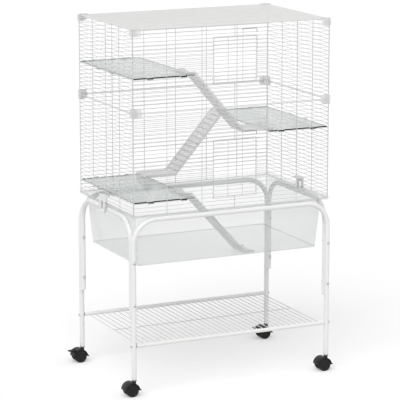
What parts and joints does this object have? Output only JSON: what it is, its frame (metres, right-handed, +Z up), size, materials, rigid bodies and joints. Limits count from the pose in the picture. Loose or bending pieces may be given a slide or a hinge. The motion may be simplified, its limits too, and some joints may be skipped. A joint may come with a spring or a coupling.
{
  "type": "small animal cage on a stand",
  "caption": "Two-tier white wire cage with clear decks and ramps over a deep clear basin, on a bent tube stand with a wire shelf and braked casters.",
  "frame": {"origin": "on the floor, under the middle of the four legs", "axes": "+X to the right seen from the doors, +Y to the back away from the doors, +Z up"},
  "size_m": [0.8788, 0.551, 1.3558],
  "materials": {
    "white_tube": "satin powder coat",
    "white_wire": "satin powder coat",
    "clear_basin": "clear, polished",
    "clear_deck": "clear, polished",
    "grey_ramp": "frosted, translucent",
    "frosted_clip": "frosted, translucent",
    "white_plastic": "smooth moulded",
    "black_plastic": "fine moulded grain",
    "steel": "zinc plated"
  },
  "bodies": {
    "stand": {"back_arch": "white_tube", "back_left_leg": "white_tube", "back_right_leg": "white_tube", "basin": "clear_basin", "caster_stems": "steel", "clip_pins": "steel", "corner_caps": "frosted_clip", "frame_bolts": "steel", "frame_nuts": "steel", "front_arch": "white_tube", "front_left_leg": "white_tube", "front_right_leg": "white_tube", "hinge_brackets": "white_wire", "left_arch": "white_tube", "leg_sockets": "black_plastic", "lower_back_wall": "white_wire", "lower_deck": "clear_deck", "lower_front_wall": "white_wire", "lower_left_wall": "white_wire", "lower_ramp": "grey_ramp", "lower_right_wall": "white_wire", "middle_deck": "clear_deck", "middle_ramp": "grey_ramp", "right_arch": "white_tube", "shelf": "white_tube", "shelf_bolts": "steel", "shelf_plugs": "black_plastic", "tier_clips": "frosted_clip", "top_wall": "white_wire", "upper_back_wall": "white_wire", "upper_deck": "clear_deck", "upper_front_wall": "white_wire", "upper_left_wall": "white_wire", "upper_ramp": "grey_ramp", "upper_right_wall": "white_wire"},
    "upper_door": {"upper_door": "white_wire"},
    "upper_latch": {"upper_latch": "steel"},
    "lower_door": {"lower_door": "white_wire"},
    "lower_latch": {"lower_latch": "steel"},
    "left_clip": {"left_clip": "white_plastic"},
    "right_clip": {"right_clip": "white_plastic"},
    "front_left_swivel": {"front_left_hood": "black_plastic", "front_left_axle": "steel"},
    "front_left_wheels": {"front_left_wheels": "black_plastic"},
    "front_right_swivel": {"front_right_hood": "black_plastic", "front_right_axle": "steel"},
    "front_right_wheels": {"front_right_wheels": "black_plastic"},
    "back_left_swivel": {"back_left_hood": "black_plastic", "back_left_axle": "steel"},
    "back_left_wheels": {"back_left_wheels": "black_plastic"},
    "back_left_brake": {"back_left_brake": "black_plastic"},
    "back_right_swivel": {"back_right_hood": "black_plastic", "back_right_axle": "steel"},
    "back_right_wheels": {"back_right_wheels": "black_plastic"},
    "back_right_brake": {"back_right_brake": "black_plastic"}
  },
  "joints": [
    {"name": "upper_door_hinge", "type": "hinge", "parent": "stand", "child": "upper_door", "pos_m": [-0.081, -0.25818, 1.2238], "axis": [0, 0, -1], "range_deg": [0, 170]},
    {"name": "upper_latch_pivot", "type": "hinge", "parent": "upper_door", "child": "upper_latch", "pos_m": [0.03767, -0.26068, 1.3343], "axis": [0, -1, 0], "range_deg": [0, 60]},
    {"name": "lower_door_hinge", "type": "hinge", "parent": "stand", "child": "lower_door", "pos_m": [-0.081, -0.25818, 0.8223], "axis": [0, 0, -1], "range_deg": [0, 170]},
    {"name": "lower_latch_pivot", "type": "hinge", "parent": "lower_door", "child": "lower_latch", "pos_m": [0.03767, -0.26068, 0.9553], "axis": [0, -1, 0], "range_deg": [0, 60]},
    {"name": "left_clip_pivot", "type": "hinge", "parent": "stand", "child": "left_clip", "pos_m": [-0.416, 0, 0.648], "axis": [0, -1, 0], "range_deg": [0, 80]},
    {"name": "right_clip_pivot", "type": "hinge", "parent": "stand", "child": "right_clip", "pos_m": [0.416, 0, 0.648], "axis": [0, 1, 0], "range_deg": [0, 80]},
    {"name": "front_left_swivel", "type": "hinge", "parent": "stand", "child": "front_left_swivel", "pos_m": [-0.4, -0.252, 0.05], "axis": [0, 0, 1], "continuous": true},
    {"name": "front_left_roll", "type": "hinge", "parent": "front_left_swivel", "child": "front_left_wheels", "pos_m": [-0.414, -0.252, 0.024], "axis": [0, 1, 0], "continuous": true},
    {"name": "front_right_swivel", "type": "hinge", "parent": "stand", "child": "front_right_swivel", "pos_m": [0.4, -0.252, 0.05], "axis": [0, 0, 1], "continuous": true},
    {"name": "front_right_roll", "type": "hinge", "parent": "front_right_swivel", "child": "front_right_wheels", "pos_m": [0.386, -0.252, 0.024], "axis": [0, 1, 0], "continuous": true},
    {"name": "back_left_swivel", "type": "hinge", "parent": "stand", "child": "back_left_swivel", "pos_m": [-0.4, 0.252, 0.05], "axis": [0, 0, 1], "continuous": true},
    {"name": "back_left_roll", "type": "hinge", "parent": "back_left_swivel", "child": "back_left_wheels", "pos_m": [-0.414, 0.252, 0.024], "axis": [0, 1, 0], "continuous": true},
    {"name": "back_left_brake_pivot", "type": "hinge", "parent": "back_left_swivel", "child": "back_left_brake", "pos_m": [-0.43677, 0.252, 0.04677], "axis": [0, -1, 0], "range_deg": [0, 18]},
    {"name": "back_right_swivel", "type": "hinge", "parent": "stand", "child": "back_right_swivel", "pos_m": [0.4, 0.252, 0.05], "axis": [0, 0, 1], "continuous": true},
    {"name": "back_right_roll", "type": "hinge", "parent": "back_right_swivel", "child": "back_right_wheels", "pos_m": [0.386, 0.252, 0.024], "axis": [0, 1, 0], "continuous": true},
    {"name": "back_right_brake_pivot", "type": "hinge", "parent": "back_right_swivel", "child": "back_right_brake", "pos_m": [0.36323, 0.252, 0.04677], "axis": [0, -1, 0], "range_deg": [0, 18]}
  ]
}
